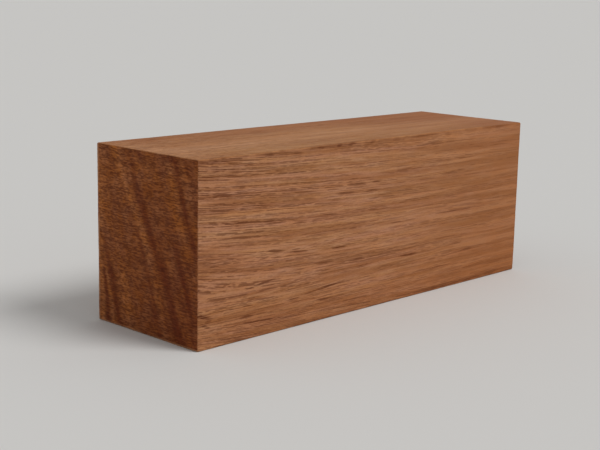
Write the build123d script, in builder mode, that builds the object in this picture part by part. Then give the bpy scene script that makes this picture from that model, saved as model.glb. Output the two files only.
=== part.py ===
"""A hardwood block: one piece of reddish-brown, open-pored hardwood, sawn square and lightly sanded.

The grain runs along X. The long faces are planed flat, the two ends are saw cuts across the grain,
and every arris is broken with abrasive paper: the long ones a little more than those round the ends.
The block lies on its narrower long face, with the origin at the middle of that face. Millimetres.
"""

import os

from build123d import *

# Driving dimensions
length = 127.0  # along the grain, X: 5 in
width = 38.0  # across, Y: 1 1/2 in
height = 45.0  # as it lies, Z: 1 3/4 in full
long_arris_radius = 0.5  # the four edges along the grain
end_arris_radius = 0.35  # the edges round each saw-cut end

# The blank: the sawn section, its corners eased, run the length of the grain
with BuildPart() as hardwood_block:
    with BuildSketch(Plane.YZ.offset(-length / 2)) as section:
        Rectangle(width, height, align=(Align.CENTER, Align.MIN))
        fillet(section.vertices(), radius=long_arris_radius)
    extrude(amount=length)

    # The saw cuts: each end's whole outline is eased
    end_faces = faces().filter_by(Axis.X)
    fillet(end_faces.edges(), radius=end_arris_radius)

hardwood_block.part.label = "hardwood_block"

os.makedirs("parts", exist_ok=True)
export_step(hardwood_block.part, "parts/hardwood_block.step")
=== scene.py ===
"""The looks of a hardwood block: its sanded and sawn surface, and the wood that shows on every face.

The block is one piece, so one mesh stands for it. Its surface carries the real relief: worn arrises,
shallow streaks along the long faces and fine ridges across the two ends. The open pores are finer, so
they are bump. The wood is a solid material, worked out in three dimensions, so the pores, the growth
bands and the figure run through the block, and each face shows its own cut of them. Sizes are in
millimetres unless a comment says otherwise.
"""

import math

import bpy
import numpy as np
from mathutils import Matrix, Vector


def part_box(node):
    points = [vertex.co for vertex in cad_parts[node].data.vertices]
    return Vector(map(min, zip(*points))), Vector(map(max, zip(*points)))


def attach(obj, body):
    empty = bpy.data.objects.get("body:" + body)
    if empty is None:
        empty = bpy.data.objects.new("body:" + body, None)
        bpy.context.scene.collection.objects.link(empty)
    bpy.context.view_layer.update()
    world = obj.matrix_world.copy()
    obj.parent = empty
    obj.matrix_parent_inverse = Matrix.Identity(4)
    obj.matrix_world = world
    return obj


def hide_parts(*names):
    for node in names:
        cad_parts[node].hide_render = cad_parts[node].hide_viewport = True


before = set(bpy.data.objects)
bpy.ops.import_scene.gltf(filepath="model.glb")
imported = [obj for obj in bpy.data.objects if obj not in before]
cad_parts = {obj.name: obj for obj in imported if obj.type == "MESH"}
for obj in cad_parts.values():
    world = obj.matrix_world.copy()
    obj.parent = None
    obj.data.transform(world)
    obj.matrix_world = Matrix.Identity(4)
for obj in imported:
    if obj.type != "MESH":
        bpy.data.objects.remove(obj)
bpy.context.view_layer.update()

MM = 0.001  # in metres, Blender's unit
LOW, HIGH = (np.array(corner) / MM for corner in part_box("hardwood_block"))
LENGTH, WIDTH, HEIGHT = HIGH - LOW
X, Y, Z = range(3)

# The grid on the block's faces: its step on each axis, and its closer lines beside each arris
MESH_STEP = (1.35, 0.38, 0.25)
ARRIS_STRIP = 0.6
ARRIS_LINES = (0.0, 0.12, 0.26, 0.42)

# The worn arrises: their radius, how far it strays either way, and the waves that it follows, each
# with how fast it turns for each mm on the three axes, and where it starts, both in radians
ARRIS_RADIUS = 0.42
ARRIS_WEAR = 0.1
WEAR_WAVES = [
    ((0.09, 0.2, 0.16), 0.4),
    ((0.23, 0.11, 0.37), 2.1),
    ((0.6, 0.4, 0.25), 4.0),
]

# How deep the relief is cut into the mesh, and how deep the material's finer bump looks
STREAK_DEPTH = 0.03
RIDGE_DEPTH = 0.04
UNEVEN_DEPTH = 0.03
PORE_BUMP = 0.03
FIBRE_BUMP = 0.01
RAY_BUMP = 0.02

# The block's own map, in pixels: for each face the axis it faces along and its side, the axes that
# run right and up on the map, whether up is reversed, its lower left corner and its pixels to a mm
MAP_SIZE = 1024
MAP_GAP = 4
ALONG_GRAIN, ACROSS_GRAIN, END_RIGHT, END_UP = 3.98, 9.95, 11.2, 4.65
COLUMN = (MAP_GAP, MAP_SIZE / 2 + MAP_GAP / 2)
ROW = (MAP_GAP, 2 * MAP_GAP + WIDTH * END_UP, 3 * MAP_GAP + WIDTH * (END_UP + ACROSS_GRAIN))
FACES = [
    (Y, 0, X, Z, False, (COLUMN[0], ROW[2]), (ALONG_GRAIN, ACROSS_GRAIN)),
    (Y, -1, X, Z, True, (COLUMN[1], ROW[2]), (ALONG_GRAIN, ACROSS_GRAIN)),
    (Z, -1, X, Y, False, (COLUMN[0], ROW[1]), (ALONG_GRAIN, ACROSS_GRAIN)),
    (Z, 0, X, Y, True, (COLUMN[1], ROW[1]), (ALONG_GRAIN, ACROSS_GRAIN)),
    (X, 0, Z, Y, False, (COLUMN[0], ROW[0]), (END_RIGHT, END_UP)),
    (X, -1, Z, Y, True, (COLUMN[1], ROW[0]), (END_RIGHT, END_UP)),
]

# How the grain runs: the slope of its layers across the block, how far it falls near the left end,
# how much less it falls in its level tongue, how far along the fall fades, how far its broad waves
# and its fine ones range, and the length that sets how fast its streaks grow to the right
LAYER_SLOPE = 0.4
GRAIN_FALL, TONGUE_LEVELS, FALL_REACH = 4.2, 3.8, 33.0
BROAD_WAVES, FINE_WAVES = 2.0, 0.35
GROWTH_LENGTH = 560.0

# The colours of a long face, as red, green and blue light: the ground, then the marks on it, then
# the tints that multiply it where the wood is duller or warmer
TAN, ROSY_TAN, TOP_TAN = (0.507, 0.253, 0.1275), (0.492, 0.233, 0.132), (0.503, 0.242, 0.0945)
# Mixed in for the deeper tone to the right, and as painted shade low down and at the back and right of the
# top
DEEP_TAN_AND_SHADE = (0.4, 0.156, 0.0575)
PALE_TAN = (0.55, 0.258, 0.118)
# Mixed in on the top and the underside: pale streaks, and a painted sheen along the middle and at the left
# end
CREAM_AND_SHEEN = (0.6, 0.31, 0.16)
FIBRE_BROWN = (0.25, 0.08, 0.018)
SPECK_BROWN = (0.1, 0.03, 0.01)
STREAK_BROWN = (0.17, 0.042, 0.009)
FLECK_BROWN = (0.12, 0.03, 0.008)
PORE_BROWN = (0.09, 0.018, 0.004)
SHADE_TINT = (0.89, 0.79, 0.67)
WARM_TINT = (1.0, 0.93, 0.8)

# The colours of an end, in the same order
END_PALE, END_DARK = (0.54, 0.202, 0.0745), (0.158, 0.0282, 0.0073)
LONG_RAY_BROWN = (0.1, 0.016, 0.003)
SHORT_RAY_BROWN = (0.07, 0.01, 0.002)
# The pale edge of an end: partly wear, partly a painted highlight along the arris
WORN_TAN_AND_HIGHLIGHT = (0.5, 0.25, 0.125)
END_WARM_TINT = (1.0, 0.86, 0.46)

# How strongly the marks show, from 0 to 1, how much less the fibre and the pores do on the top, and
# how much more a dark streak does where it crosses dark fibre
FIBRE, FIBRE_LESS_ON_TOP = 0.585, 0.17
PORES, PORES_LESS_ON_TOP = 0.65, 0.29
DARK_STREAK, DARK_STREAK_ON_FIBRE = 0.2, 0.42
TOP_DARK_STREAK, TOP_PALE_STREAK = 0.2, 0.4
PALE_STREAK = 0.45
SPECKS = 0.15
FLECKS = 0.4
LONG_RAYS, SHORT_RAYS = 0.42, 0.58
# The pale edge line of an end is partly wear and partly a painted highlight
WORN_EDGE_AND_HIGHLIGHT = 0.8

# How much darker the ground is low down, as painted shade, to the right, and on the top towards its back
# and its right, as painted shade
PAINTED_SHADE_LOW, DEEPER_RIGHT, PAINTED_SHADE_TOP = 0.42, 0.74, 0.7

# How far the growth bands, the blotches and the slow change across it take an end from its middle
# colour, and how far the noise between the bands ranges. The slow change is a darkening towards the
# front face and the bottom, partly painted shade and partly the wood's own tone
BANDS, BLOTCHES, SHADE_AND_TONE_CHANGE = 0.33, 0.6, 0.25
BAND_NOISE = 1.4

# How dull the surface is, as the shader's roughness, and how much more an end, a pore or a dull streak
ROUGHNESS, ROUGHER_END, ROUGHER_PORE, ROUGHER_STREAK = 0.5, 0.14, 0.12, 0.12
SPECULAR_LEVEL = 0.12

# The growth bands across an end: where each one starts and ends, from the back face
# and below the top, how far it bows to the back face between, how wide it is, and its strength,
# which is above 0 in pale bands and below 0 in dark ones
END_BANDS = [
    (3.9, -5.0, 20.5, 25.0, 0.2, 3.0, 1.4),
    (15.4, 12.0, 28.9, 52.0, -0.2, 3.0, 0.8),
    (13.4, 12.0, 26.9, 52.0, -0.2, 2.4, -0.6),
    (11.5, -3.0, 25.5, 29.0, 0.9, 3.3, -1.1),
    (24.2, 22.0, 32.7, 47.0, 0.6, 4.5, -0.9),
    (25.9, -4.0, 36.4, 28.0, 0.6, 3.4, 0.9),
    (29.0, -3.0, 39.0, 26.0, 0.8, 2.0, -1.0),
    (31.2, -3.0, 41.2, 26.0, 0.8, 3.0, 0.6),
    (29.4, 18.0, 37.4, 40.0, 0.6, 2.4, -0.9),
    (1.0, 4.0, 2.2, 24.0, 0.2, 2.6, 1.0),
    (2.4, 22.0, 5.8, 34.0, 0.0, 3.0, -0.9),
    (3.2, 28.0, 6.9, 48.0, 0.2, 1.6, 1.1),
    (2.5, 29.0, 4.9, 50.0, 0.1, 1.8, -1.1),
    (1.0, 24.0, 2.2, 50.0, 0.0, 2.2, 1.1),
    (5.2, 29.0, 9.6, 47.0, 0.3, 2.6, -1.0),
    (8.5, 28.0, 16.4, 52.0, 0.2, 6.0, 1.1),
    (15.0, -2.0, 17.5, 2.4, 0.0, 2.6, -1.0),
    (25.5, -2.0, 28.5, 2.2, 0.0, 5.0, -1.3),
]

# The clearest dark streaks of the front face: how far from its left end and below
# its top edge each one's middle is, how long and thick it is, its fall for each mm to the right,
# and how dark it is
DARK_STREAKS = [
    (5.0, 2.8, 14.0, 1.0, 0.06, 0.8),
    (8.0, 4.6, 22.0, 0.6, 0.07, 0.6),
    (7.5, 9.0, 9.0, 0.9, 0.05, 0.6),
    (21.0, 12.6, 9.0, 0.9, 0.08, 0.9),
    (14.0, 16.2, 26.0, 0.6, 0.08, 0.7),
    (24.0, 17.2, 9.0, 0.8, 0.07, 0.7),
    (42.0, 17.8, 12.0, 0.8, 0.03, 0.6),
    (50.0, 13.0, 7.0, 0.9, 0.03, 0.8),
    (54.0, 11.0, 7.0, 0.8, 0.03, 0.7),
    (61.5, 11.2, 4.0, 0.8, 0.0, 0.9),
    (60.0, 13.4, 6.0, 0.8, 0.04, 0.8),
    (34.0, 6.3, 30.0, 0.7, 0.04, 0.6),
    (25.0, 24.5, 7.0, 0.9, 0.09, 0.9),
    (33.0, 25.9, 8.0, 0.9, 0.08, 0.9),
    (48.0, 27.0, 6.0, 0.9, 0.04, 0.9),
    (42.0, 30.2, 9.0, 1.0, 0.05, 0.8),
    (55.0, 31.0, 22.0, 0.6, 0.03, 0.6),
    (20.0, 32.0, 12.0, 0.7, -0.14, 0.7),
    (44.0, 36.4, 20.0, 0.7, -0.09, 1.0),
    (31.5, 37.8, 5.0, 0.9, 0.02, 0.8),
    (1.8, 37.0, 6.5, 1.1, 0.2, 1.4),
    (15.5, 39.3, 5.0, 1.1, 0.05, 0.9),
    (22.0, 41.2, 30.0, 0.6, 0.08, 0.8),
    (42.0, 39.5, 6.0, 0.8, 0.03, 0.9),
    (52.0, 43.0, 30.0, 0.6, 0.04, 0.7),
    (74.0, 23.2, 14.0, 0.6, 0.0, 0.8),
    (99.0, 23.0, 24.0, 0.6, 0.0, 0.9),
    (109.0, 28.7, 12.0, 0.6, 0.12, 0.8),
    (76.0, 33.0, 8.0, 0.9, 0.03, 1.0),
    (58.0, 33.2, 6.0, 1.1, 0.0, 0.7),
    (63.0, 38.0, 10.0, 0.5, 0.12, 0.5),
    (84.0, 38.4, 34.0, 0.6, 0.0, 0.7),
    (88.0, 38.4, 11.0, 0.7, 0.0, 0.9),
    (98.0, 32.5, 9.0, 0.8, 0.0, 0.7),
    (102.5, 35.3, 7.0, 0.9, 0.0, 0.7),
    (102.0, 40.6, 36.0, 0.7, 0.01, 0.6),
    (112.0, 43.6, 24.0, 1.1, 0.0, 0.7),
    (90.0, 3.1, 34.0, 0.6, 0.0, 0.6),
    (94.0, 8.0, 26.0, 0.8, 0.02, 0.6),
    (95.0, 11.6, 12.0, 0.8, -0.06, 0.6),
    (76.0, 14.5, 22.0, 0.7, 0.03, 0.5),
    # The small knot mark, low at the left end
    (2.6, 39.3, 3.4, 0.9, 0.4, 1.0),
    (3.4, 38.2, 2.4, 0.8, -0.1, 0.8),
    # Along the top edge, where short fibres broke out
    (6.4, 0.5, 4.0, 0.9, 0.0, 0.6),
    (14.0, 0.9, 24.0, 0.8, 0.03, 0.5),
    (22.3, 0.8, 6.0, 0.8, 0.0, 0.5),
    (32.0, 1.3, 5.0, 0.9, 0.0, 0.6),
    (40.3, 0.5, 3.4, 0.9, 0.0, 0.7),
    (47.1, 0.5, 2.6, 1.1, -0.2, 0.8),
    (51.9, 0.5, 3.8, 0.9, -0.1, 0.9),
    (60.0, 0.5, 3.0, 1.0, -0.3, 0.7),
    (69.5, 0.7, 4.0, 1.0, 0.0, 0.5),
    (82.0, 0.5, 14.0, 0.8, 0.0, 0.7),
    (91.5, 0.8, 4.0, 1.0, 0.1, 0.6),
    (86.0, 2.9, 9.0, 1.0, 0.0, 0.7),
    (116.0, 0.4, 14.0, 0.8, 0.0, 0.7),
    # Low on the right
    (96.0, 44.0, 44.0, 1.4, 0.0, 0.8),
    (118.0, 40.8, 20.0, 1.0, 0.0, 0.6),
]

# Its clearest pale streaks, in the same way
PALE_STREAKS = [
    (22.0, 14.3, 60.0, 1.5, 0.065, 1.0),
    (72.0, 16.8, 64.0, 1.3, 0.006, 0.8),
    (8.0, 7.6, 24.0, 1.1, 0.07, 0.7),
    (96.0, 6.9, 40.0, 1.1, 0.004, 0.8),
    (22.0, 4.8, 20.0, 0.8, 0.05, 0.7),
    (62.0, 29.0, 18.0, 2.8, 0.03, 0.9),
    (86.0, 29.6, 30.0, 1.4, 0.0, 0.6),
    (36.0, 27.0, 30.0, 1.3, 0.06, 0.7),
    (20.0, 23.5, 24.0, 1.0, 0.07, 0.6),
    (10.0, 35.6, 22.0, 1.4, 0.02, 0.7),
    (44.0, 38.2, 16.0, 0.9, -0.05, 0.6),
    (92.0, 39.4, 34.0, 0.8, 0.0, 0.6),
    (90.0, 24.6, 40.0, 0.9, 0.01, 0.5),
    (76.0, 1.6, 110.0, 1.8, 0.0, 0.9),
]

# The clearest streaks of the top, in the same way, but by their distance from its front edge
TOP_DARK_STREAKS = [
    (24.0, 12.2, 36.0, 1.2, -0.045, 0.9),
    (26.0, 29.0, 14.0, 3.5, 0.0, 0.6),
    (29.7, 24.4, 9.0, 2.5, 0.0, 0.6),
    (38.5, 11.0, 12.0, 1.6, 0.0, 0.8),
    (45.0, 5.0, 14.0, 6.0, 0.0, 0.5),
    (48.0, 11.0, 10.0, 1.6, 0.0, 0.6),
    (46.0, 28.0, 8.0, 8.0, 0.0, 0.4),
    (85.0, 9.6, 12.0, 1.6, 0.0, 0.7),
    (105.0, 28.4, 14.0, 3.0, 0.0, 0.7),
]
TOP_PALE_STREAKS = [
    (23.0, 13.8, 40.0, 1.1, -0.045, 1.2),
    (14.0, 17.0, 34.0, 4.0, -0.02, 0.5),
    (75.0, 16.5, 24.0, 3.5, 0.0, 0.5),
    (103.0, 13.0, 14.0, 3.0, 0.0, 0.5),
]

# How far the placed streaks reach in from their face, and between which shares of its half length and
# half thickness each one fades out
STREAK_REACH = 1.5
BROAD_REACH = 3.0
STREAK_FADE = (1.2, 0.4)

# The camera, as it stood: its place, the point it looks at, its roll in degrees, its lens and the
# nearest that it shows
CAMERA_PLACE = (-240.5, -222.9, 84.7)
CAMERA_AIM = (-5.67, 4.83, 19.0)
CAMERA_ROLL = 1.217
CAMERA_LENS = 72.68
CAMERA_NEAR = 10.0

# The studio: a pale floor, a broad soft light and even grey light all round
FLOOR_REACH = 12000.0
FLOOR_COLOUR = (0.72, 0.71, 0.69)
FLOOR_ROUGHNESS = 0.8
FLOOR_SPECULAR = 0.1
LIGHT_PLACE = (300.0, -600.0, 800.0)
LIGHT_AIM = (0.0, 0.0, 20.0)
LIGHT_WIDTH = 28  # degrees across, as seen from the block
LIGHT_STRENGTH = 1.55
ROOM_LIGHT = (0.42, 0.42, 0.42)


class Number:
    """A number that varies from place to place: one output of a node, with plain arithmetic."""

    def __init__(self, tree, socket):
        self.tree = tree
        self.socket = socket

    def math(self, operation, *others):
        """One operation of the math node, on this number and the others."""
        node = add(self.tree, "ShaderNodeMath", self, *others, operation=operation)
        return Number(self.tree, node.outputs[0])

    def __add__(self, other):
        return self.math("ADD", other)

    def __sub__(self, other):
        return self.math("SUBTRACT", other)

    def __mul__(self, other):
        return self.math("MULTIPLY", other)

    def __truediv__(self, other):
        return self.math("DIVIDE", other)

    def __rsub__(self, other):
        return self * -1.0 + other

    __radd__ = __add__

    def between(self, start, end, top=1.0):
        """0 up to start, top from end on, and smooth between them. It falls where end is below start."""
        limits = (start, end, 0.0, top)
        ramp = add(self.tree, "ShaderNodeMapRange", self, *limits, interpolation_type="SMOOTHSTEP")
        return Number(self.tree, ramp.outputs[0])


def add(tree, kind, *inputs, **settings):
    """Adds a node. Its inputs come in the sockets' order, and None leaves a socket as it is."""
    node = tree.nodes.new(kind)
    for name, value in settings.items():
        setattr(node, name, value)
    for socket, value in zip(node.inputs, inputs):
        if isinstance(value, Number):
            tree.links.new(value.socket, socket)
        elif value is not None:
            socket.default_value = value
    return node


def split(tree, vector):
    """The three numbers of a vector."""
    parts = add(tree, "ShaderNodeSeparateXYZ", Number(tree, vector))
    return [Number(tree, socket) for socket in parts.outputs]


def join(place, size=(1.0, 1.0, 1.0), seed=0.0):
    """One vector out of three numbers, each measured in its own size and shifted by the seed."""
    tree = place[0].tree
    parts = [part / length + seed for part, length in zip(place, size)]
    return Number(tree, add(tree, "ShaderNodeCombineXYZ", *parts).outputs[0])


def noise(place, size, seed, detail=1.0, roughness=0.5):
    """Soft noise from 0 to 1, with blotches of the given size along, inward and down."""
    tree = place[0].tree
    cloud = add(tree, "ShaderNodeTexNoise", join(place, size, seed), None, 1.0, detail, roughness)
    return Number(tree, cloud.outputs[0])


def wander(place, size, seed):
    """Three soft noises at once, each from about -0.5 to 0.5."""
    tree = place[0].tree
    cloud = add(tree, "ShaderNodeTexNoise", join(place, size, seed), None, 1.0, 1.0)
    return [part - 0.5 for part in split(tree, cloud.outputs[1])]


class Wood:
    """The wood at a point of the block, for the material and for the relief alike."""

    def __init__(self, tree, position):
        x, y, z = split(tree, position)
        self.tree = tree
        self.along = x / MM - LOW[X]  # from the left end
        self.inward = y / MM - LOW[Y]  # from the front face
        self.depth = HIGH[Z] - z / MM  # below the top face
        self.place = [self.along, self.inward, self.depth]
        self.grain = self.straightened()
        self.dark = self.placed(DARK_STREAKS, STREAK_REACH)

    def vector(self, kind, *inputs, **settings):
        """Adds a node and gives its first output, which is a vector."""
        return Number(self.tree, add(self.tree, kind, *inputs, **settings).outputs[0])

    def straightened(self):
        """The same point where the grain lies straight and its streaks are all equally long.

        To the right the grain settles, and its streaks grow longer. Near the left end it falls to
        the right, but for a tongue low on the front face, where it lies level.
        """
        layer = self.depth + self.inward * LAYER_SLOPE
        tongue = layer.between(27.0, 35.0) * layer.between(44.0, 37.0)
        lift = (self.along / -FALL_REACH).math("EXPONENT") * (GRAIN_FALL - tongue * TONGUE_LEVELS)
        broad = wander(self.place, size=(75.0, 14.0, 14.0), seed=3.1)
        fine = wander(self.place, size=(18.0, 2.4, 2.4), seed=7.7)
        self.waver = broad[Z] * BROAD_WAVES + fine[Z] * FINE_WAVES
        along = self.along * (1.0 - self.along / GROWTH_LENGTH)
        inward = self.inward + broad[Y] * BROAD_WAVES + fine[Y] * FINE_WAVES
        return [along, inward, self.depth + lift + self.waver]

    def fading(self, least):
        """How clear the fine marks of a long face are: 1 at its left end, down to least at its right."""
        return 1.0 - self.along * ((1.0 - least) / LENGTH)

    def arris_flecks(self):
        """Dark flecks along the long arrises, where the plane and the paper break out short fibres."""
        edges = [part.math("MINIMUM", size - part) for part, size in zip(self.place[1:], (WIDTH, HEIGHT))]
        nearness = (edges[0] + edges[1]).between(1.5, 0.4)
        flecks = noise(self.place, size=(4.5, 1.5, 1.5), seed=51.3, detail=3.0, roughness=0.6)
        return flecks.between(0.42, 0.62) * nearness * self.fading(0.6)

    def pores(self):
        """Vessels cut open along their length: thin dark dashes, in rows that follow the grain."""
        crowding = noise(self.grain, size=(40.0, 2.6, 1.4), seed=11.3, detail=2.0).between(0.3, 0.7)
        crowding = crowding * 0.05 + self.dark * 0.08 + self.fading(0.0) * 0.02 - 0.05
        rows = noise(self.grain, size=(140.0, 0.25, 0.22), seed=21.7) + crowding
        dashes = noise(self.grain, size=(2.3, 0.45, 0.28), seed=35.9) + crowding
        clear = self.fading(0.35) + self.dark * 0.3
        return rows.between(0.44, 0.59) * dashes.between(0.37, 0.54) * clear

    def fibre(self):
        """The darker fibres between the pores: streaks of every size, the thinner ones shorter."""
        rough = self.fading(0.65)
        streaks = noise(self.grain, size=(40.0, 2.2, 1.9), seed=2.3, detail=3.6, roughness=rough)
        return streaks.between(0.4, 0.62)

    def placed(self, streaks, reach, on_top=False):
        """The listed streaks, which lie just under the front face, or under the top."""
        across, under = (self.inward, self.depth) if on_top else (self.depth, self.inward)
        point = join([self.along, under, across + self.waver * 0.3])
        strongest = None
        for along, across, length, thickness, fall, strength in streaks:
            middle = Vector((along, 0.0, across))
            shrink = Vector((2.0 / length, 1.0 / reach, 2.0 / thickness))
            level = self.vector("ShaderNodeVectorRotate", point, middle, (0.0, 1.0, 0.0), math.atan(fall))
            shift = -middle * shrink
            offset = self.vector("ShaderNodeVectorMath", level, shrink, shift, operation="MULTIPLY_ADD")
            measure = add(self.tree, "ShaderNodeVectorMath", offset, operation="LENGTH")
            streak = Number(self.tree, measure.outputs[1]).between(*STREAK_FADE, strength)
            strongest = streak if strongest is None else strongest.math("MAXIMUM", streak)
        return strongest

    def rings(self):
        """The listed growth bands: above 0 in pale wood, below 0 in dark."""
        drift = noise(self.place, size=(60.0, 9.0, 9.0), seed=8.8, detail=2.0) - 0.5
        across = WIDTH - self.inward + drift * 1.2
        layer = [self.along, across - self.depth * 0.45, self.depth]
        total = None
        for start, top, end, bottom, bow, width, strength in END_BANDS:
            down = (self.depth - top) / (bottom - top)
            middle = start + down * (end - start) + down * (1.0 - down) * (-4.0 * bow)
            edge = (across - middle).math("ABSOLUTE").between(width * 0.65, 0.0)
            band = edge * down.between(0.0, 0.25) * down.between(1.0, 0.75) * strength
            total = band if total is None else total + band
        fine = noise(layer, size=(60.0, 1.1, 12.0), seed=41.7, detail=2.0)
        return total + fine * BAND_NOISE - BAND_NOISE / 2

    def rays(self):
        """Fine lines across an end, at right angles to the rings, long ones and short ones."""
        waver = wander(self.place, size=(20.0, 10.0, 6.0), seed=6.1)[Z] * 0.4
        place = [self.along, self.inward, self.depth + waver]
        long = noise(place, size=(3.0, 7.0, 0.34), seed=4.4)
        short = noise(place, size=(3.0, 1.3, 0.31), seed=13.7)
        return long.between(0.36, 0.64), short.between(0.4, 0.64)

    def relief(self, end):
        """How deep the surface lies below a true flat face. The saw left the ridges of an end."""
        streaks = (self.fibre() + self.dark) * STREAK_DEPTH
        ridges = noise(self.place, size=(3.0, 2.4, 0.4), seed=9.5).between(0.35, 0.65) * RIDGE_DEPTH
        uneven = noise(self.place, size=(24.0, 16.0, 16.0), seed=17.2) * UNEVEN_DEPTH
        return streaks * (1.0 - end) + ridges * end + uneven


def mesh_lines(low, high, step):
    """Where the grid lines lie on one axis: close together by the arrises, evenly spaced between."""
    strip = np.array(ARRIS_LINES)
    count = round((high - low - 2 * ARRIS_STRIP) / step) + 1
    middle = np.linspace(low + ARRIS_STRIP, high - ARRIS_STRIP, count)
    return np.concatenate([low + strip, middle, high - strip[::-1]])


def ease_edges(points):
    """Rounds every edge, by a radius that wanders a little along it, as sanding by hand leaves it."""
    waves = sum(np.sin(points @ np.array(turn) + start) for turn, start in WEAR_WAVES)
    radius = (ARRIS_RADIUS + ARRIS_WEAR * waves / len(WEAR_WAVES))[:, None]
    core = np.clip(points, LOW + radius, HIGH - radius)
    out = points - core
    return core + out / np.linalg.norm(out, axis=1, keepdims=True) * radius


def build_block():
    """The block's surface: a closed box with a grid on every face, its edges eased, with its own map."""
    lines = [mesh_lines(low, high, step) for low, high, step in zip(LOW, HIGH, MESH_STEP)]
    shell = np.ones([len(line) for line in lines], bool)
    shell[1:-1, 1:-1, 1:-1] = False
    number = np.full(shell.shape, -1)
    number[shell] = np.arange(shell.sum())
    points = np.stack([line[i] for line, i in zip(lines, np.nonzero(shell))], axis=1)

    quads, places = [], []
    for axis, side, right, up, mirrored, corner, scale in FACES:
        grid = np.take(number, side, axis=axis)
        grid = grid if right < up else grid.T
        grid = grid[:, ::-1] if mirrored else grid
        quad = [grid[:-1, :-1], grid[1:, :-1], grid[1:, 1:], grid[:-1, 1:]]
        face = np.stack(quad, axis=-1).reshape(-1, 4)
        across, over = points[face, right] - LOW[right], points[face, up] - LOW[up]
        over = HIGH[up] - LOW[up] - over if mirrored else over
        place = np.stack([corner[0] + across * scale[0], corner[1] + over * scale[1]], axis=-1)
        quads.append(face)
        places.append(place / MAP_SIZE)

    mesh = bpy.data.meshes.new("sawn_hardwood_block")
    mesh.from_pydata(ease_edges(points) * MM, [], np.concatenate(quads))
    mesh.uv_layers.new(name="OFBake").uv.foreach_set("vector", np.concatenate(places).ravel())
    mesh.shade_smooth()
    block = bpy.data.objects.new("sawn_hardwood_block", mesh)
    bpy.context.collection.objects.link(block)
    return block


def carve(block):
    """Sinks the relief into the mesh, inward only, so that nothing stands proud of the CAD faces."""
    tree = bpy.data.node_groups.new("relief", "GeometryNodeTree")
    tree.interface.new_socket("Geometry", in_out="INPUT", socket_type="NodeSocketGeometry")
    tree.interface.new_socket("Geometry", in_out="OUTPUT", socket_type="NodeSocketGeometry")
    start = tree.nodes.new("NodeGroupInput")
    end = tree.nodes.new("NodeGroupOutput")
    wood = Wood(tree, tree.nodes.new("GeometryNodeInputPosition").outputs[0])
    normal = Number(tree, tree.nodes.new("GeometryNodeInputNormal").outputs[0])
    depth = wood.relief(split(tree, normal.socket)[X].math("ABSOLUTE").between(0.5, 1.0))
    sink = add(tree, "ShaderNodeVectorMath", normal, operation="SCALE")
    tree.links.new((depth * -MM).socket, sink.inputs["Scale"])
    move = tree.nodes.new("GeometryNodeSetPosition")
    tree.links.new(start.outputs[0], move.inputs["Geometry"])
    tree.links.new(sink.outputs[0], move.inputs["Offset"])
    tree.links.new(move.outputs[0], end.inputs[0])
    modifier = block.modifiers.new("relief", "NODES")
    modifier.node_group = tree
    bpy.context.view_layer.objects.active = block
    bpy.ops.object.modifier_apply(modifier=modifier.name)


def colour_mix(factor, first, second, blend="MIX"):
    """Goes from the first colour to the second, or to the first times it, as the factor goes to 1."""
    tree = factor.tree
    node = add(tree, "ShaderNodeMix", factor, data_type="RGBA", blend_type=blend)
    for socket, value in ((node.inputs[6], first), (node.inputs[7], second)):
        if isinstance(value, Number):
            tree.links.new(value.socket, socket)
        else:
            socket.default_value = (*value, 1.0)
    return Number(tree, node.outputs[2])


def side_ground(wood, top):
    """The ground of a long face: orange-tan, deeper to the right, and darker low down with painted shade.

    The top and the underside are creamier, with pale streaks and a painted sheen, most of all along
    the middle and at the left end, and they take painted shade towards their back and their right.
    """
    tint = noise(wood.grain, size=(36.0, 4.0, 2.4), seed=18.3, detail=3.0, roughness=0.7)
    colour = colour_mix(tint.between(0.35, 0.65), TAN, ROSY_TAN)
    colour = colour_mix(top * 0.8, colour, TOP_TAN)
    # Darker to the right with the wood's deeper tone; darker low down, and on the top towards its back and
    # its right, is painted shade
    deep_tone_and_shade = wood.depth.between(26.0, 46.0) * PAINTED_SHADE_LOW + wood.along.between(40.0, 140.0) * DEEPER_RIGHT
    painted_top_shade = wood.inward.between(14.0, 36.0) + wood.along.between(100.0, 128.0)
    deep_tone_and_shade = deep_tone_and_shade + top * painted_top_shade * PAINTED_SHADE_TOP
    colour = colour_mix(deep_tone_and_shade, colour, DEEP_TAN_AND_SHADE)
    colour = colour_mix(wood.placed(PALE_STREAKS, BROAD_REACH) * PALE_STREAK, colour, PALE_TAN)
    # A painted sheen: the top and the underside are creamier along their middle and at their left end; the
    # listed pale streaks of the top join it
    middle = wood.inward.between(5.0, 15.0) * wood.inward.between(26.0, 15.0)
    sheen_and_pale_streaks = middle * (wood.along.between(90.0, 0.0, 0.25) + 0.4) + wood.along.between(12.0, 2.0, 0.5)
    sheen_and_pale_streaks = sheen_and_pale_streaks + wood.placed(TOP_PALE_STREAKS, BROAD_REACH, on_top=True) * TOP_PALE_STREAK
    return colour_mix(sheen_and_pale_streaks * top, colour, CREAM_AND_SHEEN)


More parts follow.
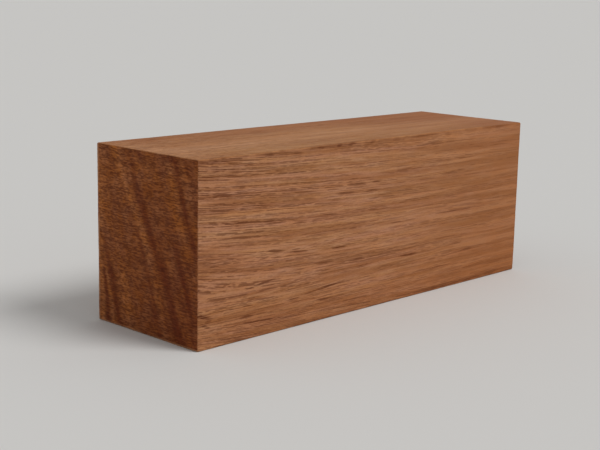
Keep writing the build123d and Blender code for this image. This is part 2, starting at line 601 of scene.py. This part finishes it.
def side_colour(wood, fibre, pores, top):
    """Wood cut along the grain: the ground, with browner streaks and dark open pores."""
    colour = side_ground(wood, top)
    shade = noise(wood.grain, size=(40.0, 7.0, 5.0), seed=61.7, detail=2.0).between(0.3, 0.7)
    colour = colour_mix(shade * (wood.fading(0.3) * 0.6 + top * 0.4), colour, SHADE_TINT, "MULTIPLY")
    warmth = noise(wood.place, size=(8.0, 1.3, 1.1), seed=73.9, detail=2.0).between(0.3, 0.7)
    colour = colour_mix(warmth, colour, WARM_TINT, "MULTIPLY")
    fibre_shown = fibre * (wood.fading(0.86) * FIBRE - top * FIBRE_LESS_ON_TOP)
    colour = colour_mix(fibre_shown, colour, FIBRE_BROWN)
    specks = noise(wood.place, size=(0.9, 0.35, 0.35), seed=27.1).between(0.4, 0.7)
    colour = colour_mix(specks * wood.fading(0.3) * SPECKS, colour, SPECK_BROWN)
    streaks = wood.dark * (fibre * DARK_STREAK_ON_FIBRE + DARK_STREAK)
    colour = colour_mix(streaks, colour, STREAK_BROWN)
    top_streaks = wood.placed(TOP_DARK_STREAKS, BROAD_REACH, on_top=True)
    colour = colour_mix(top_streaks * top * TOP_DARK_STREAK, colour, STREAK_BROWN)
    colour = colour_mix(wood.arris_flecks() * FLECKS, colour, FLECK_BROWN)
    return colour_mix(pores * (PORES - top * PORES_LESS_ON_TOP), colour, PORE_BROWN)


def end_colour(wood, rays):
    """Wood cut across the grain: darker and redder, with growth bands, rays, painted shade towards the
    front face and the bottom, and a pale edge that is partly wear and partly a painted highlight.
    """
    mottle = noise(wood.place, size=(9.0, 3.0, 4.0), seed=14.2, detail=3.0)
    # Partly painted shade, partly the wood's own tone: the end darkens towards the front face and the
    # bottom
    shade = (WIDTH - wood.inward) / WIDTH + wood.depth / HEIGHT
    dark = 0.5 - wood.rings() * BANDS + (mottle - 0.5) * BLOTCHES + (shade - 1.0) * SHADE_AND_TONE_CHANGE
    colour = colour_mix(dark.between(-0.25, 1.25), END_PALE, END_DARK)
    warmth = noise(wood.place, size=(8.0, 6.0, 6.0), seed=33.1, detail=4.0, roughness=0.7)
    colour = colour_mix(warmth.between(0.33, 0.67), colour, END_WARM_TINT, "MULTIPLY")
    colour = colour_mix(rays[0] * LONG_RAYS, colour, LONG_RAY_BROWN)
    colour = colour_mix(rays[1] * SHORT_RAYS, colour, SHORT_RAY_BROWN)
    # The pale line along the bottom and back arrises of an end: partly wear, partly a painted highlight
    worn_and_lit_edge = (HEIGHT - wood.depth).between(0.7, 0.2).math("MAXIMUM", (WIDTH - wood.inward).between(1.1, 0.5))
    return colour_mix(worn_and_lit_edge * mottle.between(0.3, 0.55) * WORN_EDGE_AND_HIGHLIGHT, colour, WORN_TAN_AND_HIGHLIGHT)


def wood_material():
    """Sanded hardwood, which shows its own cut of the wood on the long faces and on the ends."""
    material = bpy.data.materials.new("sanded_hardwood")
    material.use_nodes = True
    tree = material.node_tree
    tree.nodes.clear()

    coordinates = add(tree, "ShaderNodeTexCoord")
    wood = Wood(tree, coordinates.outputs["Object"])
    facing = [part.math("ABSOLUTE") for part in split(tree, coordinates.outputs["Normal"])]
    end = facing[X].between(0.55, 1.0)
    fibre = wood.fibre()
    pores = wood.pores()
    rays = wood.rays()
    colour = colour_mix(end, side_colour(wood, fibre, pores, facing[Z]), end_colour(wood, rays))
    dull = noise(wood.grain, size=(14.0, 1.2, 1.2), seed=12.6, detail=2.0) * ROUGHER_STREAK + ROUGHNESS
    dull = dull + end * ROUGHER_END + pores * ROUGHER_PORE
    height = pores * -PORE_BUMP + fibre * -FIBRE_BUMP + rays[0] * end * -RAY_BUMP

    bump = add(tree, "ShaderNodeBump", 1.0, MM, None, height)
    shader = add(tree, "ShaderNodeBsdfPrincipled")
    shader.inputs["Specular IOR Level"].default_value = SPECULAR_LEVEL
    tree.links.new(colour.socket, shader.inputs["Base Color"])
    tree.links.new(dull.socket, shader.inputs["Roughness"])
    tree.links.new(bump.outputs[0], shader.inputs["Normal"])
    output = tree.nodes.new("ShaderNodeOutputMaterial")
    tree.links.new(shader.outputs[0], output.inputs[0])
    return material


def aim(thing, place, target, roll=0.0):
    """Puts a camera or a light in its place, turned to its target and rolled by some degrees."""
    direction = Vector(target) - Vector(place)
    turn = direction.to_track_quat("-Z", "Y").to_matrix() @ Matrix.Rotation(math.radians(roll), 3, "Z")
    thing.matrix_world = Matrix.LocRotScale(Vector(place) * MM, turn.to_quaternion(), None)


def add_camera():
    """The camera at the photograph's viewing angle."""
    data = bpy.data.cameras.new("camera")
    data.lens = CAMERA_LENS
    data.clip_start = CAMERA_NEAR * MM
    camera = bpy.data.objects.new("camera", data)
    bpy.context.collection.objects.link(camera)
    aim(camera, CAMERA_PLACE, CAMERA_AIM, CAMERA_ROLL)
    bpy.context.scene.camera = camera


def floor_material():
    """The pale, dull paint of the floor."""
    material = bpy.data.materials.new("pale_floor")
    material.use_nodes = True
    shader = material.node_tree.nodes["Principled BSDF"]
    shader.inputs["Base Color"].default_value = (*FLOOR_COLOUR, 1.0)
    shader.inputs["Roughness"].default_value = FLOOR_ROUGHNESS
    shader.inputs["Specular IOR Level"].default_value = FLOOR_SPECULAR
    return material


def build_floor():
    """A wide flat floor at the height of the block's underside."""
    reach = FLOOR_REACH * MM
    corners = [(x * reach, y * reach, 0.0) for x, y in ((-1, -1), (1, -1), (1, 1), (-1, 1))]
    mesh = bpy.data.meshes.new("floor")
    mesh.from_pydata(corners, [], [(0, 1, 2, 3)])
    mesh.materials.append(floor_material())
    floor = bpy.data.objects.new("floor", mesh)
    bpy.context.collection.objects.link(floor)
    return floor


def add_lights():
    """One broad soft light from above the front, and even light from all round."""
    data = bpy.data.lights.new("key", "SUN")
    data.angle = math.radians(LIGHT_WIDTH)
    data.energy = LIGHT_STRENGTH
    key = bpy.data.objects.new("key", data)
    bpy.context.collection.objects.link(key)
    aim(key, LIGHT_PLACE, LIGHT_AIM)

    world = bpy.data.worlds.new("studio")
    world.use_nodes = True
    world.node_tree.nodes["Background"].inputs[0].default_value = (*ROOM_LIGHT, 1.0)
    bpy.context.scene.world = world
    bpy.context.scene.view_settings.view_transform = "Standard"


block = build_block()
carve(block)
block.data.materials.append(wood_material())
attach(block, "root")
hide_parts("hardwood_block")

add_camera()
floor = build_floor()
add_lights()
